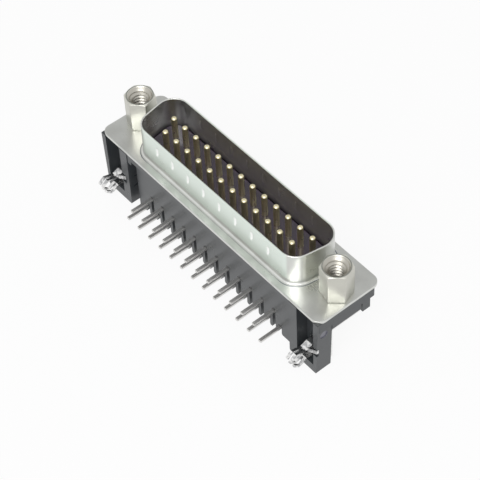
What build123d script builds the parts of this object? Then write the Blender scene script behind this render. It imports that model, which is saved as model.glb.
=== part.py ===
from build123d import *
import math
import os

# A 25-way right-angle board connector: pins in a metal shroud, tails bent down to the board,
# two jack sockets on the flange and a forked board lock in each ear of the bracket.
# The origin is the centre of the flange's front face. +Z points out of the mating face, +X runs
# along the contact rows and +Y points away from the circuit board. Sizes are in millimetres.

# Lengths along X come from the flange inwards: studs, shroud, contact rows, then the block
flange_length = 53.04
flange_end = 3.0
stud_to_shroud = 4.04
shroud_to_pin = 2.92
pin_to_block_end = 2.24
stud_spacing = flange_length - 2 * flange_end
stud_x = stud_spacing / 2
shroud_length = stud_spacing - 2 * stud_to_shroud
far_row_length = shroud_length - 2 * shroud_to_pin
block_length = far_row_length + 2 * pin_to_block_end

# Contact grid: the far row has one contact more than the near row, half a pitch to each side
far_count = 13
near_count = far_count - 1
pitch = far_row_length / (far_count - 1)
row_spacing = 2.84
far_places = [(column - (far_count - 1) / 2) * pitch for column in range(far_count)]
near_places = [(column - (near_count - 1) / 2) * pitch for column in range(near_count)]

# Contacts: a round pin in front, a flat tail behind that turns down to the board
pin_diameter = 1.0
pin_sides = 10
pin_reach = 5.2
pin_nose = 0.26
tail_width = 0.6
tail_thickness = 0.4
tail_bend = 1.0
tail_point = 0.13
tail_below_board = 3.27

# Board side: the ears stand on the board, the tail rows lie behind the flange's front face
flange_height = 12.5
board_gap = 0.05
board_y = -flange_height / 2 - board_gap
near_tail_z = -8.08
board_row_spacing = 2.84
far_tail_z = near_tail_z - board_row_spacing
tail_tip_y = board_y - tail_below_board

# Front shell: a flange with a drawn D wall; the D is measured inside
flange_corner = 1.5
sheet = 0.5
shroud_height = 8.36
shroud_slope = math.radians(10)
shroud_corner = 2.6
shroud_depth = 6.2
shroud_wall = 0.4
root_round = 0.6
rim_bevel = 0.1
stud_hole = 3.1

# Grounding dimples, pressed inwards through both long walls of the shroud
dimple_count = 8
dimple_end = 6.11
dimple_pitch = (shroud_length - 2 * dimple_end) / (dimple_count - 1)
dimple_z = 3.85
dimple_length = 1.8
dimple_width = 0.7
dimple_depth = 0.3
dimple_places = [(column - (dimple_count - 1) / 2) * dimple_pitch for column in range(dimple_count)]

# Insulator: a D block that fills the shroud's root, with a collar held under the flange
insulator_rise = 0.8
insulator_clearance = 0.12
insulator_edge = 0.3
collar_end = 1.52
collar_length = shroud_length + 2 * collar_end
collar_height = 9.4
collar_thickness = 1.2
pin_to_rear_block_end = 1.04
rear_block_length = far_row_length + 2 * pin_to_rear_block_end
rear_block_height = 5.6
rear_block_reach = 5.5
fit_clearance = 0.05
pin_clearance = 0.02

# Bracket: a plate behind the flange, a hollow block with a comb wall, and two ears
bracket_near_inset = 0.05
bracket_far_inset = 1.05
bracket_near_y = -flange_height / 2 + bracket_near_inset
bracket_far_y = flange_height / 2 - bracket_far_inset
bracket_corner = 0.4
plate_thickness = 1.9
lip_thickness = 1.1
bracket_depth = 12.5
block_near_inset = 0.84
block_far_inset = 0.3
block_near_y = bracket_near_y + block_near_inset
block_far_y = bracket_far_y - block_far_inset
block_wall = 1.1
block_round = 0.5
comb_slot_width = 0.7
comb_slot_clearance = 0.18
comb_notch_width = 0.76
comb_notch_clearance = 0.12
comb_mouth = 0.14
edge_round = 0.25
plate_front = -sheet
plate_back = plate_front - plate_thickness
bracket_rear = -bracket_depth

# Ears: they narrow towards the rear, with a pocket for the board lock in the board face
block_to_ear = 1.0
ear_end_inset = 0.12
ear_inner_x = block_length / 2 + block_to_ear
ear_outer_x = flange_length / 2 - ear_end_inset
ear_outer_draft = 0.4
ear_inner_draft = 0.1
ear_thickness = 2.9
ear_back_y = board_y + ear_thickness
ear_mark_diameter = 1.5
ear_mark_depth = 0.15
ear_mark_height = 1.3
ear_mark_y = board_y + ear_mark_height
ear_mark_z = -3.5
pocket_width = 3.7
pocket_depth = 2.1
pocket_end_z = -10.8
window_width = 2.6
window_top_z = -7.3

# End bosses: they back the flange round the studs, with a small foot beside each
boss_far_y = 2.3
boss_back = -3.5
foot_gap = 0.35
foot_far_inset = 1.05
foot_far_y = bracket_far_y - foot_far_inset
foot_back = -4.4
foot_length = 4.5

# Jack sockets: a hexagon with a tapped hole, and a stud that passes the flange
hex_across_flats = 4.6
hex_height = 5.9
hex_rim_diameter = 4.5
hex_chamfer_angle = math.radians(30)
hex_turns = {"left": 43, "right": 48}
thread_diameter = 2.84
thread_clearance = 0.02
tap_diameter = 2.3
tap_depth = 5.0
tap_countersink = 4.1
stud_reach = 4.7

# Threaded inserts in the bosses, with a collar that holds the board lock's strap
insert_diameter = 4.0
insert_collar_diameter = 4.6
insert_collar_thickness = 0.5
insert_sides = 8

# Board locks: a strap under the boss, down the ear's back and through its window as a fork
lock_sheet = 0.35
lock_z = -9.35
strap_width = 4.9
pad_width = 5.6
strap_far_y = 2.2
strap_play = 0.03
fork_span = 2.8
fork_width = 1.3
fork_split = 0.4
hump_y = board_y + 0.9
hump_height = 0.2
neck_y = board_y - 0.3
neck_drop = 0.3
barb_y = board_y - 2.2
barb_flare = 0.3
tip_y = board_y - 3.1
tip_drop = 0.5
lower_leg_short = 0.5
wing_root_x = 0.4
wing_end_x = 2.7
wing_root_rise = 0.5
wing_end_rise = 2.0
wing_height = 0.8
wing_seat_room = 0.15

sides = {"left": -1, "right": 1}


def add_d_outline(growth):
    """Draw the D of the mating face, moved outwards from the shroud's inner face by growth."""
    half_height = shroud_height / 2
    lean = half_height * math.tan(shroud_slope)
    rounding = math.tan(shroud_slope) + 1 / math.cos(shroud_slope) - 1
    wide = shroud_length / 2 + shroud_corner * rounding
    narrow = wide - 2 * lean
    Polygon(
        (-wide, half_height),
        (-narrow, -half_height),
        (narrow, -half_height),
        (wide, half_height),
        align=None,
    )
    fillet(vertices(), shroud_corner)
    if growth:
        offset(amount=growth)


def press_dimples(width, length, depth, face_y):
    """Cut a row of round-bottomed grooves into both long walls, sunk by depth from face_y inwards."""
    groove_radius = (length ** 2 / 4 + depth ** 2) / (2 * depth)
    axis_y = face_y - depth + groove_radius
    for side in (-1, 1):
        with Locations(*[(x, side * axis_y, dimple_z) for x in dimple_places]):
            Cylinder(groove_radius, width, rotation=(0, 90, 0), mode=Mode.SUBTRACT)


def add_comb_slot(x, width, top):
    """Draw one slot of the comb wall: closed at the top, flared where it leaves the rear edge."""
    half = width / 2
    flared = half + comb_mouth
    past = bracket_rear - block_wall
    Polygon(
        (x - half, top),
        (x - half, bracket_rear + 2 * comb_mouth),
        (x - flared, bracket_rear),
        (x - flared, past),
        (x + flared, past),
        (x + flared, bracket_rear),
        (x + half, bracket_rear + 2 * comb_mouth),
        (x + half, top),
        align=None,
    )


def add_sheet_section(path, thickness):
    """Draw a bent sheet seen on edge: path is one face, the other lies to the left of it."""
    corners = [Vector(*point) for point in path]
    runs = [(end - start).normalized() for start, end in zip(corners, corners[1:])]
    other_face = []
    for corner, arriving, leaving in zip(corners, runs[:1] + runs, runs + runs[-1:]):
        along = (arriving + leaving).normalized()
        across = Vector(-along.Y, along.X)
        reach = thickness / (along.X * arriving.X + along.Y * arriving.Y)
        other_face.append(corner + across * reach)
    outline = corners + other_face[::-1]
    Polygon(*[(corner.X, corner.Y) for corner in outline], align=None)


os.makedirs("parts", exist_ok=True)

# Space inside the shroud, with the dimples standing into it; the sheet keeps its thickness there
with BuildPart() as shroud_space:
    with BuildSketch(Plane.XY.offset(-sheet)):
        add_d_outline(0)
    extrude(amount=sheet + shroud_depth)
    bump_width = dimple_width + shroud_wall
    bump_length = dimple_length + shroud_wall
    press_dimples(bump_width, bump_length, dimple_depth, shroud_height / 2)

# Front shell: plated steel sheet, drawn and pressed in one piece
with BuildPart() as front_shell:
    with BuildSketch(Plane.XY.offset(-sheet)):
        RectangleRounded(flange_length, flange_height, flange_corner)
    extrude(amount=sheet)
    with BuildSketch(Plane.XY.offset(-sheet)):
        add_d_outline(shroud_wall)
    extrude(amount=sheet + shroud_depth)
    flange_face = faces().filter_by(Axis.Z).filter_by_position(Axis.Z, -sheet / 4, sheet / 4)[0]
    fillet(flange_face.inner_wires()[0].edges(), root_round)
    add(shroud_space.part, mode=Mode.SUBTRACT)
    rim = faces().filter_by(Axis.Z).sort_by(Axis.Z)[-1]
    chamfer(rim.edges(), rim_bevel)
    press_dimples(dimple_width, dimple_length, dimple_depth, shroud_height / 2 + shroud_wall)
    with Locations(*[(side * stud_x, 0) for side in sides.values()]):
        Hole(stud_hole / 2)
front_shell.part.label = "front_shell"
export_step(front_shell.part, "parts/front_shell.step")

# Insulator: the D block in front, the collar under the flange, the rear block in the bracket
with BuildPart() as insulator:
    with BuildSketch(Plane.XY.offset(plate_front)):
        add_d_outline(-insulator_clearance)
    extrude(amount=sheet + insulator_rise)
    chamfer(edges().group_by(Axis.Z)[-1], insulator_edge)
    with BuildSketch(Plane.XY.offset(plate_front)):
        RectangleRounded(collar_length, collar_height, shroud_corner)
    extrude(amount=-collar_thickness)
    with BuildSketch(Plane.XY.offset(plate_front - collar_thickness)):
        RectangleRounded(rear_block_length, rear_block_height, block_round)
    extrude(amount=collar_thickness - rear_block_reach)
    far_holes = [(x, row_spacing / 2) for x in far_places]
    near_holes = [(x, -row_spacing / 2) for x in near_places]
    with BuildSketch(Plane.XY.offset(insulator_rise)):
        with Locations(*far_holes, *near_holes):
            RegularPolygon(pin_diameter / 2 + pin_clearance, pin_sides)
    extrude(amount=plate_front - rear_block_reach - insulator_rise, mode=Mode.SUBTRACT)
insulator.part.label = "insulator"
export_step(insulator.part, "parts/insulator.step")

# Bracket: one black moulding; its comb wall lines up and parts the tails
ear_length = ear_outer_x - ear_inner_x
ear_middle_x = (ear_outer_x + ear_inner_x) / 2
block_middle_y = (block_near_y + block_far_y) / 2
slot_top = near_tail_z + tail_thickness / 2 + comb_slot_clearance
notch_top = far_tail_z + tail_thickness / 2 + comb_notch_clearance
with BuildPart() as bracket:
    with BuildSketch(Plane.XY.offset(plate_front)):
        with Locations((0, (bracket_near_y + bracket_far_y) / 2)):
            RectangleRounded(2 * ear_outer_x, bracket_far_y - bracket_near_y, bracket_corner)
    extrude(amount=-plate_thickness)

    # The lip over the comb wall is thinner than the plate
    with BuildSketch(Plane.XY.offset(plate_front - lip_thickness)):
        with Locations((0, bracket_near_y)):
            Rectangle(block_length, 2 * (block_near_y - bracket_near_y))
    extrude(amount=lip_thickness - plate_thickness, mode=Mode.SUBTRACT)

    # Hollow block behind the plate, open to the rear
    with BuildSketch(Plane.XY.offset(plate_front - lip_thickness)):
        with Locations((0, block_middle_y)):
            Rectangle(block_length, block_far_y - block_near_y)
    extrude(amount=bracket_rear - plate_front + lip_thickness)
    upright_edges = edges().filter_by(Axis.Z)
    far_corners = upright_edges.filter_by_position(Axis.Y, block_far_y - edge_round, block_far_y)
    fillet(far_corners, block_round)
    with BuildSketch(Plane.XY.offset(plate_back)):
        with Locations((0, block_middle_y)):
            Rectangle(block_length - 2 * block_wall, block_far_y - block_near_y - 2 * block_wall)
    extrude(amount=bracket_rear - plate_back, mode=Mode.SUBTRACT)

    # Comb wall: deep slots for the near row's tails, short notches for the far row's
    with BuildSketch(Plane.XZ.offset(-block_near_y)):
        for x in near_places:
            add_comb_slot(x, comb_slot_width, slot_top)
        for x in far_places:
            add_comb_slot(x, comb_notch_width, notch_top)
    extrude(amount=-block_wall, mode=Mode.SUBTRACT)

    # Ears, with a shallow round mark in each outer face
    for side in sides.values():
        with BuildSketch(Plane.XZ.offset(-board_y)):
            with BuildLine():
                Polyline(
                    (side * ear_inner_x, plate_front),
                    (side * ear_outer_x, plate_front),
                    (side * (ear_outer_x - ear_outer_draft), bracket_rear),
                    (side * (ear_inner_x + ear_inner_draft), bracket_rear),
                    close=True,
                )
            make_face()
        extrude(amount=board_y - ear_back_y)
    rear_corners = edges().filter_by_position(Axis.Z, bracket_rear - 0.01, bracket_rear + 0.01)
    ear_ends = rear_corners.filter_by(Axis.Y).filter_by(lambda edge: abs(edge.center().X) > ear_inner_x)
    fillet(ear_ends, edge_round)

    # End bosses behind the flange round the studs, and the small foot beside each
    for side in sides.values():
        with BuildSketch(Plane.XY.offset(plate_back)):
            with Locations((side * ear_middle_x, (boss_far_y + ear_back_y) / 2)):
                Rectangle(ear_length, boss_far_y - ear_back_y)
        extrude(amount=boss_back - plate_back)
        with BuildSketch(Plane.XY.offset(plate_back)):
            foot_y = boss_far_y + foot_gap
            with Locations((side * (ear_outer_x - foot_length / 2), (foot_y + foot_far_y) / 2)):
                Rectangle(foot_length, foot_far_y - foot_y)
        extrude(amount=foot_back - plate_back)

    # Seats of the insulator: a recess for its collar and a window for its rear block
    with BuildSketch(Plane.XY.offset(plate_front)):
        collar_room = 2 * fit_clearance
        RectangleRounded(collar_length + collar_room, collar_height + collar_room, shroud_corner)
    extrude(amount=-collar_thickness, mode=Mode.SUBTRACT)
    with BuildSketch(Plane.XY.offset(plate_front)):
        Rectangle(rear_block_length + collar_room, rear_block_height + collar_room)
    extrude(amount=-plate_thickness, mode=Mode.SUBTRACT)

    # Pocket in each ear for the board lock, with a window through its back wall
    for side in sides.values():
        with BuildSketch(Plane.XZ.offset(-board_y)):
            with Locations((side * stud_x, (plate_front + pocket_end_z) / 2)):
                Rectangle(pocket_width, plate_front - pocket_end_z)
        extrude(amount=-pocket_depth, mode=Mode.SUBTRACT)
        with BuildSketch(Plane.XZ.offset(-board_y)):
            with Locations((side * stud_x, (window_top_z + pocket_end_z) / 2)):
                Rectangle(window_width, window_top_z - pocket_end_z)
        extrude(amount=board_y - ear_back_y, mode=Mode.SUBTRACT)
        recess_start = side * stud_x + pocket_width / 2
        recess_end = side * stud_x + wing_end_x + wing_seat_room
        recess_low = lock_z + wing_end_rise - wing_height
        recess_high = lock_z + wing_end_rise + wing_height + wing_seat_room
        with BuildSketch(Plane.XZ.offset(-board_y)):
            Polygon(
                (recess_start, recess_low),
                (recess_end, recess_low),
                (recess_end, recess_high),
                (recess_start, recess_high),
                align=None,
            )
        extrude(amount=-lock_sheet - strap_play, mode=Mode.SUBTRACT)
        with BuildSketch(Plane.YZ.offset(side * (ear_outer_x - ear_outer_draft / 4 - ear_mark_depth))):
            with Locations((ear_mark_y, ear_mark_z)):
                Circle(ear_mark_diameter / 2)
        extrude(amount=side * 2 * ear_mark_depth, mode=Mode.SUBTRACT)

    # Holes for the threaded inserts
    with Locations(*[(side * stud_x, 0) for side in sides.values()]):
        Hole(insert_diameter / 2 + fit_clearance)
bracket.part.label = "bracket"
export_step(bracket.part, "parts/bracket.step")

# Contacts: gold in front, tinned behind, numbered along the far row and then the near row
pin_root_z = plate_front - rear_block_reach + tail_bend
rows = (
    (row_spacing / 2, far_places, far_tail_z),
    (-row_spacing / 2, near_places, near_tail_z),
)
contact_number = 0
for row_y, places, tail_z in rows:
    for x in places:
        contact_number += 1
        with BuildPart() as contact:
            with BuildSketch(Plane.XY.offset(pin_root_z)):
                with Locations((x, row_y)):
                    RegularPolygon(pin_diameter / 2, pin_sides)
            extrude(amount=pin_reach - pin_root_z)
            chamfer(edges().group_by(Axis.Z)[-1], pin_nose)
            with BuildLine(Plane.YZ.offset(x)) as tail_route:
                FilletPolyline(
                    (row_y, pin_root_z),
                    (row_y, tail_z),
                    (tail_tip_y, tail_z),
                    radius=tail_bend,
                )
            with BuildSketch(Plane.XY.offset(pin_root_z)):
                with Locations((x, row_y)):
                    Rectangle(tail_width, tail_thickness)
            sweep(path=tail_route.wires()[0])
            chamfer(edges().group_by(Axis.Y)[0], tail_point)
        contact_name = f"contact_{contact_number:02d}"
        contact.part.label = contact_name
        export_step(contact.part, f"parts/{contact_name}.step")

# Jack sockets: chamfered hexagons, each turned as it was tightened
hex_corner = hex_across_flats / math.sqrt(3)
chamfer_drop = (hex_corner - hex_rim_diameter / 2) * math.tan(hex_chamfer_angle)
for name, side in sides.items():
    seat = Plane((side * stud_x, 0, 0))
    with BuildPart() as jack_socket:
        with BuildSketch(seat):
            RegularPolygon(hex_across_flats / 2, 6, major_radius=False, rotation=hex_turns[name])
        extrude(amount=hex_height)
        with BuildSketch(Plane((side * stud_x, 0, 0), x_dir=(1, 0, 0), z_dir=(0, -1, 0))):
            with BuildLine():
                Polyline(
                    (hex_rim_diameter / 2, hex_height),
                    (hex_corner + sheet, hex_height),
                    (hex_corner + sheet, hex_height - chamfer_drop),
                    (hex_corner, hex_height - chamfer_drop),
                    close=True,
                )
            make_face()
        revolve(axis=Axis((side * stud_x, 0, 0), (0, 0, 1)), mode=Mode.SUBTRACT)
        with BuildSketch(seat):
            Circle(thread_diameter / 2)
        extrude(amount=-stud_reach)
        with Locations((side * stud_x, 0, hex_height)):
            CounterSinkHole(tap_diameter / 2, tap_countersink / 2, depth=tap_depth, counter_sink_angle=90)
    jack_socket.part.label = f"jack_socket_{name}"
    export_step(jack_socket.part, f"parts/jack_socket_{name}.step")

# Threaded inserts: an eight-sided barrel in the boss and a collar behind the board lock's strap
collar_front = boss_back - strap_play - lock_sheet - strap_play
for name, side in sides.items():
    with BuildPart() as threaded_insert:
        with BuildSketch(Plane((side * stud_x, 0, plate_front))):
            RegularPolygon(insert_diameter / 2, insert_sides)
        extrude(amount=collar_front - plate_front)
        with BuildSketch(Plane((side * stud_x, 0, collar_front))):
            RegularPolygon(insert_collar_diameter / 2, insert_sides)
        extrude(amount=-insert_collar_thickness)
        with Locations((side * stud_x, 0, plate_front)):
            Hole(thread_diameter / 2 + thread_clearance)
    threaded_insert.part.label = f"threaded_insert_{name}"
    export_step(threaded_insert.part, f"parts/threaded_insert_{name}.step")

# Board locks: a strap held under the boss that turns down behind the ear and ends in a fork
strap_front = boss_back - strap_play
strap_near_y = ear_back_y + strap_play
leg_z = fork_span / 2 - lock_sheet
pocket_back_y = board_y + pocket_depth
for name, side in sides.items():
    lock_middle = side * stud_x
    with BuildPart() as board_lock:
        # Strap: under the boss and down the ear's back, to the fork's lower leg
        with BuildSketch(Plane.YZ.offset(lock_middle)):
            strap_path = (
                (strap_far_y, strap_front),
                (strap_near_y, strap_front),
                (strap_near_y, lock_z - fork_span / 2),
            )
            add_sheet_section(strap_path, lock_sheet)
        extrude(amount=strap_width / 2, both=True)
        # Pad: the strap is wider where it lies under the boss
        with BuildSketch(Plane.XY.offset(strap_front)):
            with Locations((lock_middle, (strap_far_y + strap_near_y) / 2)):
                Rectangle(pad_width, strap_far_y - strap_near_y)
        extrude(amount=-lock_sheet)
        # Legs: the upper one humps up in the pocket and is longer; both flare into barbs
        for turn, hump, short in ((1, hump_height, 0), (-1, 0, lower_leg_short)):
            heights = (0, 0, hump, -neck_drop, barb_flare, -tip_drop)
            root_y = strap_near_y + lock_sheet / 2
            steps = (root_y, pocket_back_y, hump_y, neck_y, barb_y + short, tip_y + short)
            leg_path = [(y, lock_z + turn * (leg_z + rise)) for y, rise in zip(steps, heights)]
            with BuildSketch(Plane.YZ.offset(lock_middle)):
                add_sheet_section(leg_path, -turn * lock_sheet)
            extrude(amount=fork_width / 2, both=True)
        # Wing from the upper leg, lying in its recess in the ear's board face
        with BuildSketch(Plane.XZ.offset(-board_y - lock_sheet)):
            Polygon(
                (lock_middle + wing_root_x, lock_z + wing_root_rise),
                (lock_middle + wing_end_x, lock_z + wing_end_rise),
                (lock_middle + wing_end_x, lock_z + wing_end_rise + wing_height),
                (lock_middle + wing_root_x, lock_z + wing_root_rise + wing_height),
                align=None,
            )
        extrude(amount=lock_sheet)
        # Split between the prongs, and the hole for the insert
        with BuildSketch(Plane.XY.offset(lock_z)):
            with Locations((lock_middle, (neck_y + tip_y) / 2 - sheet)):
                Rectangle(fork_split, neck_y - tip_y + 2 * sheet)
        extrude(amount=fork_span, both=True, mode=Mode.SUBTRACT)
        with BuildSketch(Plane((lock_middle, 0, boss_back))):
            Circle(insert_diameter / 2 + fit_clearance)
        extrude(amount=-2 * lock_sheet, mode=Mode.SUBTRACT)
    board_lock.part.label = f"board_lock_{name}"
    export_step(board_lock.part, f"parts/board_lock_{name}.step")
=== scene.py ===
import math
import bmesh
import bpy
import numpy as np
from mathutils import Matrix, Vector


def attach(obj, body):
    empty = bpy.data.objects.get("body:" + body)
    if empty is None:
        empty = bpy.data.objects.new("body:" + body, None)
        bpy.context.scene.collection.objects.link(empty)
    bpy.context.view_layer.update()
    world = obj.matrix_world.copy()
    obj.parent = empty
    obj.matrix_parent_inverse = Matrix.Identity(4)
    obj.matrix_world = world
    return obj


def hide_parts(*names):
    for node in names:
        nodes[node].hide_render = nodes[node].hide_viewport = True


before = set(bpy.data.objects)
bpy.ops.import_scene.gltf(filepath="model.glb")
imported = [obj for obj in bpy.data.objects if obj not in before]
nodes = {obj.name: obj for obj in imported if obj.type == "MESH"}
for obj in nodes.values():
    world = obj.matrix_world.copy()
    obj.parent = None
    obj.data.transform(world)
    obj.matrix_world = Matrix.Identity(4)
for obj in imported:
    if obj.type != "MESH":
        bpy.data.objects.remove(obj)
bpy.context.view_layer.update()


# ---- Front shell ----
# Flange and D shroud, drawn and pressed in one piece from thin steel strip, then plated.
# The strip keeps its rolling grain and soft smudges; each dimple has a painted highlight, the long
# walls a paler painted sheen, and painted shade darkens the crease round the wall's root.
class Shade:
    """A value on its way through a finish: arithmetic on it adds Math nodes to that finish."""

    def __init__(self, finish, socket):
        self.finish = finish
        self.socket = socket

    def maths(self, operation, first, second):
        return self.finish.node("ShaderNodeMath", {"operation": operation}, {0: first, 1: second})

    def __add__(self, other):
        return self.maths("ADD", self, other)

    def __sub__(self, other):
        return self.maths("SUBTRACT", self, other)

    def __rsub__(self, other):
        return self.maths("SUBTRACT", other, self)

    def __mul__(self, other):
        return self.maths("MULTIPLY", self, other)

    def __truediv__(self, other):
        return self.maths("DIVIDE", self, other)

    def __abs__(self):
        return self.maths("ABSOLUTE", self, 0.0)

    def fraction(self):
        return self.maths("FRACT", self, 0.0)

    def larger(self, other):
        return self.maths("MAXIMUM", self, other)

    __radd__ = __add__
    __rmul__ = __mul__


class Finish:
    """A material with its Principled shader, read in the object's own coordinates in metres."""

    def __init__(self, name, **settled):
        self.material = bpy.data.materials.new(name)
        self.material.use_nodes = True
        self.tree = self.material.node_tree
        self.shader = self.tree.nodes["Principled BSDF"]
        self.place = self.node("ShaderNodeTexCoord", {}, {}, "Object")
        for socket, value in settled.items():
            self.shader.inputs[socket.replace("_", " ")].default_value = value

    def feed(self, socket, value):
        """Link a shade to a socket, or set a plain value on it."""
        if isinstance(value, Shade):
            self.tree.links.new(value.socket, socket)
        else:
            socket.default_value = value

    def node(self, kind, settings, values, output=0):
        """Add a node: its settings first, then what its sockets take; give back one output."""
        made = self.tree.nodes.new(kind)
        for name, value in settings.items():
            setattr(made, name, value)
        for name, value in values.items():
            self.feed(made.inputs[name], value)
        return Shade(self, made.outputs[output])

    def axis(self, number):
        """One of the object's coordinates: 0 for x, 1 for y, 2 for z."""
        return self.node("ShaderNodeSeparateXYZ", {}, {0: self.place}, number)

    def stretched(self, along):
        """The object's coordinates, scaled by a factor for each axis."""
        return self.node("ShaderNodeMapping", {}, {"Vector": self.place, "Scale": along})

    def noise(self, scale, detail, roughness=0.55, vector=None):
        """Cloudy noise from 0 to 1, with scale patches to the metre."""
        values = {"Scale": scale, "Detail": detail, "Roughness": roughness}
        return self.node("ShaderNodeTexNoise", {}, {"Vector": vector or self.place, **values})

    def between(self, value, low, high, start=0.0, end=1.0):
        """Carry the span low to high smoothly over to start to end, and hold it outside."""
        spans = {"From Min": low, "From Max": high, "To Min": start, "To Max": end}
        settings = {"interpolation_type": "SMOOTHSTEP"}
        return self.node("ShaderNodeMapRange", settings, {"Value": value, **spans})

    def mixed(self, mask, first, second):
        """A colour that goes from first to second with the mask."""
        colours = {0: mask, 6: first, 7: second}
        return self.node("ShaderNodeMix", {"data_type": "RGBA"}, colours, 2)

    def relief(self, height, depth, strength=0.5, under=None):
        """Bump the surface by a height from 0 to 1 that stands for depth in metres."""
        values = {"Height": height, "Distance": depth, "Strength": strength}
        if under is not None:
            values["Normal"] = under
        return self.node("ShaderNodeBump", {}, values)

    def surface(self, colour, roughness, normal=None):
        """Feed the shader's colour, roughness and normal."""
        self.feed(self.shader.inputs["Base Color"], colour)
        self.feed(self.shader.inputs["Roughness"], roughness)
        if normal is not None:
            self.feed(self.shader.inputs["Normal"], normal)

    def cover(self, *names):
        """Put the finish on CAD nodes."""
        for name in names:
            for place in nodes[name].material_slots:
                place.material = self.material


def grid_faces(rows, columns, ends_meet):
    """Quads between neighbouring rings of points; each ring closes, and so may the row of rings."""
    row_numbers = np.arange(rows - (not ends_meet))
    row, column = np.meshgrid(row_numbers, np.arange(columns), indexing="ij")
    above = (row + 1) % rows
    beside = (column + 1) % columns
    corners = (
        row * columns + column,
        row * columns + beside,
        above * columns + beside,
        above * columns + column,
    )
    return np.stack(corners, axis=-1).reshape(-1, 4)


def skinned(rings, ends_meet=False):
    """Points and faces of a closed skin over rings: the ends are joined, or each is closed flat."""
    rows, columns = rings.shape[:2]
    faces = grid_faces(rows, columns, ends_meet).tolist()
    if not ends_meet:
        faces.append(list(range(columns))[::-1])
        faces.append(list(range((rows - 1) * columns, rows * columns)))
    return rings.reshape(-1, 3), faces


def new_mesh(name, skins):
    """Join closed skins into one mesh whose faces all point outwards."""
    points = []
    faces = []
    for skin_points, skin_faces in skins:
        start = sum(len(part) for part in points)
        points.append(skin_points)
        faces += [[start + corner for corner in face] for face in skin_faces]
    mesh = bpy.data.meshes.new(name)
    mesh.from_pydata(np.concatenate(points).tolist(), [], faces)
    turned = bmesh.new()
    turned.from_mesh(mesh)
    bmesh.ops.recalc_face_normals(turned, faces=turned.faces)
    turned.to_mesh(mesh)
    turned.free()
    return mesh


def add_piece(name, skins, finish, holes=()):
    """Make one piece from closed skins, less any holes, smooth but for its sharp edges."""
    piece = bpy.data.objects.new(name, new_mesh(name, skins))
    bpy.context.scene.collection.objects.link(piece)
    if holes:
        cutter = bpy.data.objects.new("cutter", new_mesh("cutter", holes))
        bpy.context.scene.collection.objects.link(cutter)
        cut = piece.modifiers.new("cut", "BOOLEAN")
        cut.operation = "DIFFERENCE"
        cut.solver = "EXACT"
        cut.object = cutter
        bpy.context.view_layer.update()
        shaped = piece.evaluated_get(bpy.context.evaluated_depsgraph_get())
        piece_mesh = bpy.data.meshes.new_from_object(shaped)
        piece.modifiers.clear()
        piece.data = piece_mesh
        bpy.data.objects.remove(cutter)
    piece.data.polygons.foreach_set("use_smooth", np.ones(len(piece.data.polygons), bool))
    piece.data.set_sharp_from_angle(angle=sharp_edge)
    piece.data.materials.clear()
    piece.data.materials.append(finish.material)
    piece.data.update()
    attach(piece, "root")
    return piece


sharp_edge = math.radians(35)
stud_x = 0.02352
stud_hole_radius = 0.00155
flange_half_length = 0.02652
flange_half_height = 0.00625
flange_corner = 0.0015
flange_back_z = -0.0005
flange_edge = 0.00007
d_half_length = 0.01948
d_half_height = 0.00418
d_lean = math.radians(10)
d_corner = 0.0026
wall = 0.0004
wall_inside = 0.00013
inside_step_z = (0.0009, 0.0013)
root_round = 0.00045
crease_width = 0.00014
crease_depth = 0.00007
rim_z = 0.0062
dimple_pitch = 0.00382
dimple_places = (np.arange(8) - 3.5) * dimple_pitch
dimple_z = 0.00385
dimple_half_length = 0.00095
dimple_half_width = 0.00042
dimple_depth = 0.00028
bump_depth = 0.35 * dimple_depth
bump_half_width = 1.5 * dimple_half_width

# Where the shell's points lie: round corners and rounds, down the ends, close by the dimples
corner_points = 14
end_points = 6
edge_points = 7
crease_points = 7
root_points = 9
rim_points = 13
hole_points = 48
dimple_columns = np.linspace(-0.00062, 0.00062, 15)
dimple_rows = dimple_z + np.linspace(-1.15, 1.15, 19) * dimple_half_length
wall_rows = np.concatenate(([0.0013, 0.0021], dimple_rows, [0.0055]))


def corner_arc(centre, radius, start, end):
    """Points on a circle round a corner's centre, from one wall's normal to the next."""
    angle = np.radians(np.linspace(start, end, corner_points))
    return np.stack((np.cos(angle), np.sin(angle)), axis=1) * radius + centre


def ring_of(corners, growth, radius, turns):
    """A closed outline: an arc at each corner, and straight runs between.

    A run down an end has its points evenly apart, one along a side has them by the dimples.
    """
    arcs = [corner_arc(corner, radius + growth, *turn) for corner, turn in zip(corners, turns)]
    columns = (dimple_places[:, None] + dimple_columns).ravel()
    outline = []
    for number, arc in enumerate(arcs):
        run = arcs[(number + 1) % 4][0] - arc[-1]
        if number % 2:
            share = np.sort((columns - arc[-1, 0]) / run[0])
        else:
            share = np.linspace(0, 1, end_points + 2)[1:-1]
        outline += [arc, arc[-1] + share[:, None] * run]
    return np.concatenate(outline)


def d_ring(growth):
    """The D of the mating face, moved outwards from the wall's inner face by growth."""
    lean = d_half_height * math.tan(d_lean)
    inset = d_corner * (math.tan(d_lean) + 1 / math.cos(d_lean) - 1)
    wide = d_half_length + inset
    high = d_half_height - d_corner
    far_x = wide - d_corner / math.tan(math.pi / 4 - d_lean / 2)
    near_x = wide - 2 * lean - d_corner / math.tan(math.pi / 4 + d_lean / 2)
    corners = ((-far_x, high), (-near_x, -high), (near_x, -high), (far_x, high))
    left_wall = 180 + math.degrees(d_lean)
    right_wall = 360 - math.degrees(d_lean)
    turns = ((90, left_wall), (left_wall, 270), (270, right_wall), (right_wall, 450))
    return ring_of(corners, growth, d_corner, turns)


def flange_ring(inset):
    """The flange's rounded oblong, moved inwards by inset."""
    x = flange_half_length - flange_corner
    y = flange_half_height - flange_corner
    corners = ((-x, y), (-x, -y), (x, -y), (x, y))
    turns = ((90, 180), (180, 270), (270, 360), (360, 450))
    return ring_of(corners, -inset, flange_corner, turns)


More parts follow.
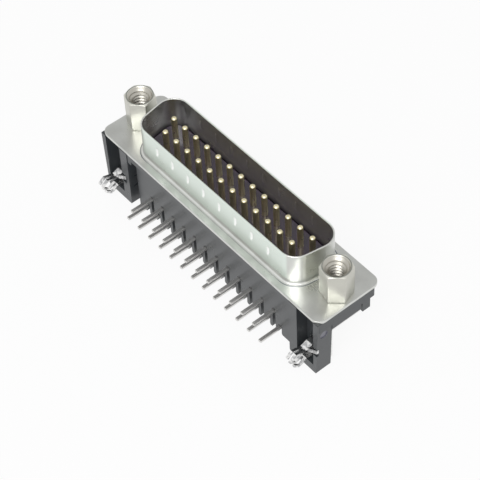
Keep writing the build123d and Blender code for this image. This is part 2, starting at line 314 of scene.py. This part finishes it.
def pressed(ring, z, depth, reach):
    """Push a wall ring inwards by the dimples' depth.

    The depth falls smoothly to nothing within a reach of an upright line through each dimple.
    """
    past_end = np.maximum(abs(z - dimple_z) - (dimple_half_length - dimple_half_width), 0)
    aside = np.min(abs(ring[:, :1] - dimple_places), axis=1)
    near = np.clip(1 - np.hypot(aside, past_end) / reach, 0, 1)
    sunk = depth * near * near * (3 - 2 * near)
    on_long_wall = abs(abs(ring[:, 1]) - abs(ring[:, 1]).max()) < 1e-6
    ring = ring.copy()
    ring[:, 1] -= np.sign(ring[:, 1]) * sunk * on_long_wall
    return ring


def shell_rings():
    """A section carried round the D: flange edge, front, crease, root, wall, rim, inside, back.

    Between the flange's oblong and the D the rings are blended point by point; the crease, the
    root and the rim are parts of circles, and the wall's rings carry the dimples.
    """
    rings = []

    def add(outline, z):
        rings.append(np.column_stack((outline, np.full(len(outline), z))))

    for turn in np.linspace(-np.pi / 2, np.pi / 2, edge_points):
        centre_z = flange_back_z + flange_edge if turn < 0 else -flange_edge
        inset = flange_edge * (1 - math.cos(turn))
        add(flange_ring(inset), centre_z + flange_edge * math.sin(turn))
    outer = flange_ring(flange_edge)
    inner = d_ring(wall + root_round + crease_width)
    for share in (0.25, 0.5, 0.75, 1.0):
        add(outer + share * (inner - outer), 0.0)
    for turn in np.linspace(0, np.pi, crease_points)[1:-1]:
        growth = wall + root_round + crease_width * (1 + math.cos(turn)) / 2
        add(d_ring(growth), -crease_depth * math.sin(turn))
    for turn in np.linspace(0, np.pi / 2, root_points):
        growth = wall + root_round * (1 - math.sin(turn))
        add(d_ring(growth), root_round * (1 - math.cos(turn)))
    for z in wall_rows:
        add(pressed(d_ring(wall), z, dimple_depth, dimple_half_width), z)
    rim_round = (wall - wall_inside) / 2
    for turn in np.linspace(0, np.pi, rim_points):
        growth = wall_inside + rim_round * (1 + math.cos(turn))
        add(d_ring(growth), rim_z - rim_round * (1 - math.sin(turn)))
    for z in wall_rows[::-1]:
        add(pressed(d_ring(wall_inside), z, bump_depth, bump_half_width), z)
    add(d_ring(wall_inside), inside_step_z[1])
    add(d_ring(0.0), inside_step_z[0])
    add(d_ring(0.0), flange_back_z + flange_edge)
    inner = d_ring(flange_edge)
    for share in (1.0, 0.75, 0.5, 0.25):
        add(outer + share * (inner - outer), flange_back_z)
    return np.array(rings)


def stud_hole_rings(x):
    """A plain round post through the flange at x, which the stud's hole is cut with."""
    turn = np.linspace(0, 2 * np.pi, hole_points, endpoint=False)
    rings = np.empty((2, len(turn), 3))
    rings[..., 0] = x + stud_hole_radius * np.cos(turn)
    rings[..., 1] = stud_hole_radius * np.sin(turn)
    rings[..., 2] = np.array((2 * flange_back_z, -2 * flange_back_z))[:, None]
    return rings


steel_clean = (0.67, 0.68, 0.65, 1.0)
steel_smudged = (0.59, 0.597, 0.57, 1.0)
painted_wall_sheen = (0.745, 0.815, 0.755, 1.0)
crease_shade_grey = (0.2, 0.22, 0.25, 1.0)
dimple_glint_white = (0.95, 0.96, 0.94, 1.0)
plated_steel = Finish("plated_steel", Metallic=1.0)
steel_smudge = plated_steel.noise(230.0, 4.0)
steel_grain = plated_steel.noise(1.0, 3.0, 0.6, plated_steel.stretched((120.0, 6500.0, 6500.0)))
steel_speck = plated_steel.noise(5200.0, 2.0)
steel_x, steel_y, steel_z = (plated_steel.axis(number) for number in range(3))
steel_aside = abs(steel_x)
steel_out = abs(steel_y)

# Painted highlight, sheen and shade on the steel: each factor fades its mark out, or in, between
# two places in metres
# Painted highlight: a thin bright stroke beside the middle of each dimple on the long walls' outer
# faces.
glint_aside = abs((steel_x / dimple_pitch + 0.03).fraction() - 0.5) * dimple_pitch
painted_dimple_glint = (
    (1 - plated_steel.between(glint_aside, 0.00009, 0.00022))
    * (1 - plated_steel.between(abs(steel_z - dimple_z), 0.0008, 0.00112))
    * (1 - plated_steel.between(steel_aside, 0.0145, 0.0147))
    * plated_steel.between(steel_out, d_half_height, d_half_height + 0.0001)
)
# Painted sheen: the long walls' outer faces, above the root, are painted paler and greener than the
# flange.
wall_sheen_place = plated_steel.between(steel_z, 0.0006, 0.0012) * plated_steel.between(
    steel_out, d_half_height + 0.0001, d_half_height + 0.0003
)
# Painted shade: the bottom of the crease round the wall's root is painted dark grey, fully at the
# D's ends and a third as much along its sides.
painted_crease_shade = (
    (1 - plated_steel.between(steel_z, -0.7 * crease_depth, -0.1 * crease_depth))
    * (1 - plated_steel.between(steel_out, 0.0055, 0.0057))
    * (1 - plated_steel.between(steel_aside, 0.0212, 0.0215))
    * plated_steel.between(steel_aside, 0.0150, 0.0175, 0.3, 1.0)
)
steel_colour = plated_steel.mixed(
    plated_steel.between(steel_smudge, 0.35, 0.68), steel_clean, steel_smudged
)
for mark, painted_colour in (
    (wall_sheen_place, painted_wall_sheen),
    (painted_crease_shade, crease_shade_grey),
    (painted_dimple_glint, dimple_glint_white),
):
    steel_colour = plated_steel.mixed(mark, steel_colour, painted_colour)
plated_steel.surface(
    steel_colour,
    0.2 + 0.12 * steel_smudge + 0.07 * steel_grain,
    plated_steel.relief(
        steel_speck, 0.0000035, under=plated_steel.relief(steel_grain, 0.000004)
    ),
)
shell = add_piece(
    "drawn_shell",
    (skinned(shell_rings(), ends_meet=True),),
    plated_steel,
    holes=[skinned(stud_hole_rings(side * stud_x)) for side in (-1, 1)],
)
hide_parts("front_shell")


# ---- Insulator ----
# Black moulded block that fills the root of the shroud and holds the pins apart.
# A filled resin off a polished mould, so the pins show in it as upright streaks.
resin_dark = (0.026, 0.015, 0.033, 1.0)
resin_pale = (0.052, 0.034, 0.062, 1.0)
insulator_resin = Finish("insulator_resin", IOR=1.62)
resin_mottle = insulator_resin.noise(900.0, 4.0)
resin_grain = insulator_resin.noise(9000.0, 2.0)
insulator_resin.surface(
    insulator_resin.mixed(resin_mottle, resin_dark, resin_pale),
    0.07 + 0.14 * resin_mottle,
    insulator_resin.relief(resin_grain, 0.000003),
)
insulator_resin.cover("insulator")


# ---- Bracket ----
# Black moulded housing: flange backing, comb wall, hood and two ears in one piece.
# Its mould was fairly smooth, so upright faces carry a soft shine; the round mark that the
# mould leaves in each ear's outer face is painted paler, a painted highlight.
plastic_dark = (0.03, 0.034, 0.037, 1.0)
plastic_pale = (0.052, 0.057, 0.061, 1.0)
ear_mark_highlight = (0.15, 0.15, 0.18, 1.0)
ear_face_x = 0.0258
ear_mark_y = -0.005
ear_mark_z = -0.0035
ear_mark_radius = 0.00074
bracket_plastic = Finish("bracket_plastic", IOR=1.52)
plastic_cloud = bracket_plastic.noise(320.0, 4.0)
plastic_grain = bracket_plastic.noise(7000.0, 3.0)
plastic_flow = bracket_plastic.noise(
    1.0, 3.0, 0.6, bracket_plastic.stretched((260.0, 260.0, 1100.0))
)
plastic_x, plastic_y, plastic_z = (bracket_plastic.axis(number) for number in range(3))
mark_down = plastic_y - ear_mark_y
mark_back = plastic_z - ear_mark_z
mark_distance_squared = mark_down * mark_down + mark_back * mark_back
mark_edge = (ear_mark_radius ** 2, (1.06 * ear_mark_radius) ** 2)
# Painted highlight: a paler disc over the round recess in each ear's outer face.
highlight_disc = 1 - bracket_plastic.between(mark_distance_squared, *mark_edge)
on_ear_face = bracket_plastic.between(abs(plastic_x), ear_face_x - 0.0001, ear_face_x)
bracket_plastic.surface(
    bracket_plastic.mixed(
        highlight_disc * on_ear_face,
        bracket_plastic.mixed(plastic_cloud, plastic_dark, plastic_pale),
        ear_mark_highlight,
    ),
    0.2 + 0.12 * plastic_cloud + 0.08 * plastic_flow,
    bracket_plastic.relief(plastic_grain, 0.000005),
)
bracket_plastic.cover("bracket")


# ---- Contacts ----
# Drawn wire, gold plated in front and tinned behind: a round pin with a domed nose, and a flat
# tail that turns down through the comb and ends in a small point.
contact_pitch = 0.00276
far_row_count = 13
row_y = 0.00142
pin_radius = 0.0005
pin_tip_z = 0.0052
pin_root_z = -0.005
nose_length = 0.00042
nose_share = 0.94
tail_start_z = -0.0048
tail_half_width = 0.0003
tail_half_thickness = 0.0002
tail_corner = 0.00005
bend_radius = 0.001
far_tail_z = -0.01092
near_tail_z = -0.00808
tail_tip_y = -0.00957
tail_point = 0.00013
pin_points = 32
nose_rings = 9
tail_corner_points = 4
bend_rings = 13


def pin_rings(x, y):
    """A lathe form: the radius stays full along the pin and falls to the tip as a half ellipse.

    The ellipse stops a little short of its end, which leaves a small flat on the nose.
    """
    turn = np.linspace(0, 2 * np.pi, pin_points, endpoint=False)
    sink = np.linspace(0, nose_share, nose_rings) * np.pi / 2
    nose_z = pin_tip_z - nose_length * (1 - np.sin(sink) / np.sin(sink[-1]))
    heights = np.concatenate(([pin_root_z], nose_z))
    radii = pin_radius * np.concatenate(([1.0], np.cos(sink)))
    rings = np.empty((len(heights), len(turn), 3))
    rings[..., 0] = x + radii[:, None] * np.cos(turn)
    rings[..., 1] = y + radii[:, None] * np.sin(turn)
    rings[..., 2] = heights[:, None]
    return rings


def rounded_half(wave, half, corner):
    """One coordinate of a rounded oblong: a corner's centre, plus a share of its radius."""
    return np.sign(wave) * (half - corner) + corner * wave


def tail_rings(x, y, tail_z):
    """A rounded oblong carried back along z, round a quarter circle and down along y to a point.

    The quarter circle's centre lies one bend radius inside the corner; the last ring is the
    oblong shrunk by the size of the point. A hair's turn keeps the first point of each of the
    oblong's corners on its own side.
    """
    quarter = np.pi / 2
    corner_turn = np.linspace(0, quarter, tail_corner_points) + 1e-6
    turns = np.concatenate([corner_turn + number * quarter for number in range(4)])
    across = rounded_half(np.cos(turns), tail_half_width, tail_corner)
    thick = rounded_half(np.sin(turns), tail_half_thickness, tail_corner)
    bend = np.linspace(0, quarter, bend_rings)
    bend_y = y - bend_radius + bend_radius * np.cos(bend)
    bend_z = tail_z + bend_radius - bend_radius * np.sin(bend)
    path_y = np.concatenate(([y], bend_y, [tail_tip_y + tail_point, tail_tip_y]))
    path_z = np.concatenate(([tail_start_z], bend_z, [tail_z, tail_z]))
    lean = np.concatenate(([0], bend, [quarter, quarter]))[:, None]
    size = np.ones((len(lean), 2))
    size[-1] = (1 - tail_point / tail_half_width, 1 - tail_point / tail_half_thickness)
    rings = np.empty((len(lean), len(turns), 3))
    rings[..., 0] = x + across * size[:, :1]
    rings[..., 1] = path_y[:, None] + np.cos(lean) * thick * size[:, 1:]
    rings[..., 2] = path_z[:, None] - np.sin(lean) * thick * size[:, 1:]
    return rings[::-1]


tin_bright = (0.74, 0.73, 0.71, 1.0)
tin_dull = (0.62, 0.615, 0.6, 1.0)
gold_bright = (0.83, 0.765, 0.53, 1.0)
gold_dull = (0.68, 0.615, 0.4, 1.0)
gold_end_z = (-0.0034, -0.0026)
contact_metal = Finish("contact_metal", Metallic=1.0)
contact_cloud = contact_metal.noise(1400.0, 3.0)
contact_draw = contact_metal.noise(
    1.0, 2.0, 0.5, contact_metal.stretched((9000.0, 700.0, 700.0))
)
gilded = contact_metal.between(contact_metal.axis(2), *gold_end_z)
contact_metal.surface(
    contact_metal.mixed(
        gilded,
        contact_metal.mixed(contact_cloud, tin_bright, tin_dull),
        contact_metal.mixed(contact_cloud, gold_bright, gold_dull),
    ),
    0.3 - 0.1 * gilded + 0.14 * contact_cloud + 0.06 * contact_draw,
    contact_metal.relief(contact_draw, 0.000002, 0.3),
)
contact_rows = (
    (row_y, far_row_count, far_tail_z),
    (-row_y, far_row_count - 1, near_tail_z),
)
contact_number = 0
for this_y, count, this_tail_z in contact_rows:
    for column in range(count):
        contact_number += 1
        x = (column - (count - 1) / 2) * contact_pitch
        contact = add_piece(
            f"contact_wire_{contact_number:02d}",
            (skinned(pin_rings(x, this_y)), skinned(tail_rings(x, this_y, this_tail_z))),
            contact_metal,
        )
        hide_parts(f"contact_{contact_number:02d}")


# ---- Jack sockets ----
# Hexagonal steel standoffs, turned, tapped and nickel plated, screwed through the flange.
# The tapped thread is a ridge that winds up the bore and dies away at both ends.
hex_half_flats = 0.0023
hex_height = 0.0059
hex_turns = {"left": 43, "right": 48}
hex_rim_radius = 0.00225
hex_chamfer_slope = math.tan(math.radians(30))
hex_mouth_radius = 0.00208
mouth_bottom_z = 0.0048
hex_base_chamfer = 0.00018
hex_edge_sharpness = 70
bore_end_z = 0.00095
drill_point = (0.0001, 0.0003)
stud_radius = 0.00142
stud_end_z = -0.0047
stud_chamfer = 0.0003
thread_pitch = 0.000635
thread_root_radius = 0.00144
thread_crest_radius = 0.00116
thread_bottom_z = 0.0013
thread_top_z = 0.00574
thread_points_a_turn = 56
tooth_end_height = 0.02
tooth_end_width = 0.3
tooth_lost_on_cone = 0.2

# Angles of a ring's points from an edge of the hexagon to the next, close by the edges
hex_point_angles = (
    0, 0.7, 1.6, 3.0, 6.0, 11.0, 18.0, 25.0, 30.0, 35.0, 42.0, 49.0, 54.0, 57.0, 58.4, 59.3,
)
# Corners of the thread's tooth: place along the bore in pitches, height in whole teeth
tooth_places = np.array((-0.46, -0.09, 0.09, 0.46, 0.3, -0.3))
tooth_heights = np.array((0.0, 1.0, 1.0, 0.0, -0.1, -0.1))


def jack_rings(x, turn_deg):
    """A section turned round the bore: stud, base, flats, chamfer, lip, mouth, bore and its floor.

    A flat's distance from the axis is half the flats' width divided by a soft maximum of the
    cosines of the angles to the six flats, which rounds the upright edges a little. The top
    chamfer is a cone, so it meets the flats in arcs. Corners are softened by hundredths of a
    millimetre.
    """
    edges = np.arange(6)[:, None] * 60
    angle = np.radians(turn_deg + (edges + np.array(hex_point_angles)).ravel())
    flats = np.radians(turn_deg + 30 + 60 * np.arange(6))
    facing = np.clip(np.cos(angle[:, None] - flats), 0, None)
    soft_maximum = (facing ** hex_edge_sharpness).sum(axis=1) ** (1 / hex_edge_sharpness)
    flat = hex_half_flats / soft_maximum
    chamfer_z = hex_height - (flat - hex_rim_radius) * hex_chamfer_slope
    bore = thread_root_radius
    base = hex_base_chamfer
    soft = 0.00001
    profile = (
        (stud_radius - stud_chamfer, stud_end_z),
        (stud_radius, stud_end_z + stud_chamfer),
        (stud_radius, 0.0),
        (flat - base, 0.0),
        (flat - base + 3 * soft, 5 * soft),
        (flat - 2 * soft, base - 3 * soft),
        (flat, base + 2 * soft),
        (flat, chamfer_z - 6 * soft),
        (flat - 2 * soft, chamfer_z - soft),
        (flat - 8 * soft, chamfer_z + 4 * soft),
        (hex_rim_radius + 4 * soft, hex_height - 3 * soft),
        (hex_rim_radius - 3 * soft, hex_height),
        (hex_mouth_radius + 2 * soft, hex_height),
        (hex_mouth_radius - 2 * soft, hex_height - 3 * soft),
        (bore + 3 * soft, mouth_bottom_z + 5 * soft),
        (bore, mouth_bottom_z - 5 * soft),
        (bore, bore_end_z),
        drill_point,
    )
    rings = np.empty((len(profile), len(angle), 3))
    for ring, (radius, height) in zip(rings, profile):
        ring[:, 0] = x + radius * np.cos(angle)
        ring[:, 1] = radius * np.sin(angle)
        ring[:, 2] = height
    return rings


def thread_rings(x):
    """A blunt tooth carried along a helix up the bore: the height grows with the turned angle.

    The tooth stands inwards from the root radius, which widens with the mouth's cone; its height
    follows a smooth rise and fall over the first and last half turn, and is a little less on
    the cone.
    """
    turns = (thread_top_z - thread_bottom_z) / thread_pitch
    angle = np.linspace(0, 2 * np.pi * turns, int(thread_points_a_turn * turns))[:, None]
    fade = np.clip(np.minimum(angle, angle[-1] - angle) / np.pi, tooth_end_height, 1)
    fade = fade * fade * (3 - 2 * fade)
    middle_z = thread_bottom_z + thread_pitch * angle / (2 * np.pi)
    tooth_width = thread_pitch * (tooth_end_width + (1 - tooth_end_width) * fade)
    height = middle_z + tooth_places * tooth_width
    up_cone = np.clip((height - mouth_bottom_z) / (hex_height - mouth_bottom_z), 0, 1)
    root = thread_root_radius + up_cone * (hex_mouth_radius - thread_root_radius)
    inward = tooth_heights * (thread_root_radius - thread_crest_radius)
    radii = root - inward * fade * (1 - tooth_lost_on_cone * up_cone)
    rings = np.empty((len(angle), len(tooth_places), 3))
    rings[..., 0] = x + radii * np.cos(angle)
    rings[..., 1] = radii * np.sin(angle)
    rings[..., 2] = height
    return rings


nickel_bright = (0.62, 0.615, 0.56, 1.0)
nickel_dull = (0.53, 0.525, 0.475, 1.0)
bore_grey = (0.46, 0.445, 0.4, 1.0)
lip_painted_shade = (0.34, 0.35, 0.315, 1.0)
jack_metal = Finish("jack_metal", Metallic=1.0)
jack_cloud = jack_metal.noise(650.0, 4.0)
jack_draw = jack_metal.noise(1.0, 3.0, 0.6, jack_metal.stretched((7000.0, 7000.0, 240.0)))
jack_x, jack_y, jack_z = (jack_metal.axis(number) for number in range(3))
jack_aside = abs(jack_x) - stud_x
jack_distance_squared = jack_aside * jack_aside + jack_y * jack_y
mouth_edge = ((0.95 * hex_mouth_radius) ** 2, hex_mouth_radius ** 2)
in_bore = 1 - jack_metal.between(jack_distance_squared, *mouth_edge)
# Painted shade: the flat top of the lip round the mouth is painted a darker grey, a dark ring.
lip_shade_place = jack_metal.between(jack_z, hex_height - 0.00003, hex_height - 0.00001)
jack_colour = jack_metal.mixed(jack_cloud, nickel_bright, nickel_dull)
jack_colour = jack_metal.mixed(in_bore, jack_colour, bore_grey)
jack_metal.surface(
    jack_metal.mixed(lip_shade_place, jack_colour, lip_painted_shade),
    0.26 + 0.1 * jack_cloud + 0.1 * jack_draw,
    jack_metal.relief(jack_draw, 0.000005),
)
for name, side in (("left", -1), ("right", 1)):
    jack = add_piece(
        f"hex_jack_{name}",
        (skinned(jack_rings(side * stud_x, hex_turns[name])),),
        jack_metal,
    )
    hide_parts(f"jack_socket_{name}")
    add_piece(
        f"jack_thread_{name}",
        (skinned(thread_rings(side * stud_x)),),
        jack_metal,
    )


# ---- Threaded inserts ----
# Brass barrels pressed into the bosses; the jack sockets' studs screw into them.
# Cut brass, dulled a little, seen only from behind.
brass_bright = (0.8, 0.64, 0.36, 1.0)
brass_dull = (0.62, 0.47, 0.25, 1.0)
insert_brass = Finish("insert_brass", Metallic=1.0)
brass_cloud = insert_brass.noise(900.0, 3.0)
insert_brass.surface(
    insert_brass.mixed(brass_cloud, brass_bright, brass_dull),
    0.26 + 0.16 * brass_cloud,
    insert_brass.relief(insert_brass.noise(6000.0, 2.0), 0.000004),
)
insert_brass.cover("threaded_insert_left", "threaded_insert_right")


# ---- Board locks ----
# Forks stamped and bent from tinned spring strip; their barbs snap into the circuit board.
# Held by a strap under each boss, with a wing lying in the ear's board face. The tin is worn
# in patches where the fork is bent, and hardly on the strap.
lock_bright = (0.84, 0.835, 0.825, 1.0)
lock_dull = (0.44, 0.445, 0.45, 1.0)
fork_to_strap_y = (-0.0046, -0.0038)
strap_wear = 0.2
lock_metal = Finish("lock_metal", Metallic=1.0)
lock_cloud = lock_metal.noise(1700.0, 4.0)
lock_rub = lock_metal.noise(1.0, 3.0, 0.6, lock_metal.stretched((5200.0, 500.0, 500.0)))
lock_wear = lock_metal.between(lock_metal.axis(1), *fork_to_strap_y, 1.0, strap_wear)
lock_worn = lock_metal.between(lock_cloud, 0.42, 0.62) * lock_wear
lock_metal.surface(
    lock_metal.mixed(lock_worn, lock_bright, lock_dull),
    0.18 + 0.14 * lock_cloud + 0.06 * lock_rub,
    lock_metal.relief(lock_rub, 0.000005),
)
lock_metal.cover("board_lock_left", "board_lock_right")


# ---- Floor ----
# Pale paper sweep under the part, flat out to where the light has fallen off.
# Rays from the camera and from shiny metal see it close to white, with the part's soft shadow.
white = (1.0, 1.0, 1.0, 1.0)
paper_white = (0.88, 0.88, 0.885, 1.0)
floor_z = -0.0125
floor_reach = 3.0
shadow_share = 0.1
floor_paper = Finish("floor_paper", Metallic=0.0)
floor_paper.surface(paper_white, 0.85)
paper_glow = floor_paper.node("ShaderNodeEmission", {}, {"Color": white, "Strength": 1.0})
camera_ray, glossy_ray, transmission_ray = (
    floor_paper.node("ShaderNodeLightPath", {}, {}, ray)
    for ray in ("Is Camera Ray", "Is Glossy Ray", "Is Transmission Ray")
)
seen = camera_ray.larger(glossy_ray).larger(transmission_ray)
plain_paper = Shade(floor_paper, floor_paper.shader.outputs[0])
paper_look = floor_paper.node(
    "ShaderNodeMixShader", {}, {0: seen * (1 - shadow_share), 1: plain_paper, 2: paper_glow}
)
floor_paper.feed(floor_paper.tree.nodes["Material Output"].inputs["Surface"], paper_look)
floor_mesh = bpy.data.meshes.new("floor")
floor_square = np.array(((-1, -1, 0), (1, -1, 0), (1, 1, 0), (-1, 1, 0)))
floor_corners = floor_square * floor_reach + (0, 0, floor_z)
floor_mesh.from_pydata(floor_corners.tolist(), [], [(0, 1, 2, 3)])
floor_mesh.materials.append(floor_paper.material)
floor = bpy.data.objects.new("floor", floor_mesh)
bpy.context.scene.collection.objects.link(floor)


# ---- Light ----
# An even pale room, with its ceiling a shade darker behind the part so that flat metal reads
# as grey, and one large soft lamp over the near side.
room_light = 0.56
sky_white = 1.0
ceiling_way = (-0.515, 0.389, 0.763)
ceiling_fade = {"From Min": 0.72, "From Max": 0.96, "To Min": 1.0, "To Max": 0.63}
lamp_size = 0.38
lamp_power = 1.6
lamp_place = Vector((0.22, -0.3, 0.38))

world = bpy.data.worlds.new("room")
bpy.context.scene.world = world
world.use_nodes = True
room = world.node_tree
room.nodes.clear()
direction = room.nodes.new("ShaderNodeTexCoord")
facing = room.nodes.new("ShaderNodeVectorMath")
facing.operation = "DOT_PRODUCT"
facing.inputs[1].default_value = ceiling_way
room.links.new(direction.outputs["Generated"], facing.inputs[0])
ceiling = room.nodes.new("ShaderNodeMapRange")
ceiling.interpolation_type = "SMOOTHSTEP"
for socket, value in ceiling_fade.items():
    ceiling.inputs[socket].default_value = value
room.links.new(facing.outputs["Value"], ceiling.inputs["Value"])
rays = room.nodes.new("ShaderNodeLightPath")
room_level = room.nodes.new("ShaderNodeMix")
room_level.data_type = "FLOAT"
room_level.inputs[2].default_value = room_light
room.links.new(ceiling.outputs[0], room_level.inputs[3])
room.links.new(rays.outputs["Is Glossy Ray"], room_level.inputs[0])
sky_level = room.nodes.new("ShaderNodeMix")
sky_level.data_type = "FLOAT"
sky_level.inputs[3].default_value = sky_white
room.links.new(rays.outputs["Is Camera Ray"], sky_level.inputs[0])
room.links.new(room_level.outputs[0], sky_level.inputs[2])
backdrop = room.nodes.new("ShaderNodeBackground")
backdrop.inputs["Color"].default_value = white
room.links.new(sky_level.outputs[0], backdrop.inputs["Strength"])
world_output = room.nodes.new("ShaderNodeOutputWorld")
room.links.new(backdrop.outputs[0], world_output.inputs["Surface"])

softbox_data = bpy.data.lights.new("softbox", "AREA")
softbox_data.shape = "SQUARE"
softbox_data.size = lamp_size
softbox_data.energy = lamp_power
softbox = bpy.data.objects.new("softbox", softbox_data)
softbox.location = lamp_place
softbox.rotation_mode = "QUATERNION"
softbox.rotation_quaternion = lamp_place.to_track_quat("Z", "Y")
bpy.context.scene.collection.objects.link(softbox)


# ---- Camera ----
# Set to the photograph's view: from the near right and well above, slightly rolled.
# A long lens a quarter of a metre away, fitted to the 25 pins and the flange.
camera_turn = math.radians(52.93)
camera_height = math.radians(49.76)
camera_roll = math.radians(-3.49)
camera_distance = 0.25715
camera_target = Vector((0.00641, -0.00436, 0.0))
camera_data = bpy.data.cameras.new("camera")
camera_data.sensor_width = 36.0
camera_data.lens = 126.92
camera_data.clip_start = 0.01
camera_data.clip_end = 20.0
camera = bpy.data.objects.new("camera", camera_data)
back = Vector(
    (
        math.sin(camera_turn) * math.cos(camera_height),
        -math.cos(camera_turn) * math.cos(camera_height),
        math.sin(camera_height),
    )
)
right = Vector((math.cos(camera_turn), math.sin(camera_turn), 0.0))
up = back.cross(right)
rolled_right = math.cos(camera_roll) * right + math.sin(camera_roll) * up
rolled_up = -math.sin(camera_roll) * right + math.cos(camera_roll) * up
camera_frame = Matrix((rolled_right, rolled_up, back)).transposed().to_4x4()
camera_frame.translation = camera_target + back * camera_distance
camera.matrix_world = camera_frame
bpy.context.scene.collection.objects.link(camera)
bpy.context.scene.camera = camera
bpy.context.scene.view_settings.view_transform = "Standard"

bpy.context.view_layer.update()
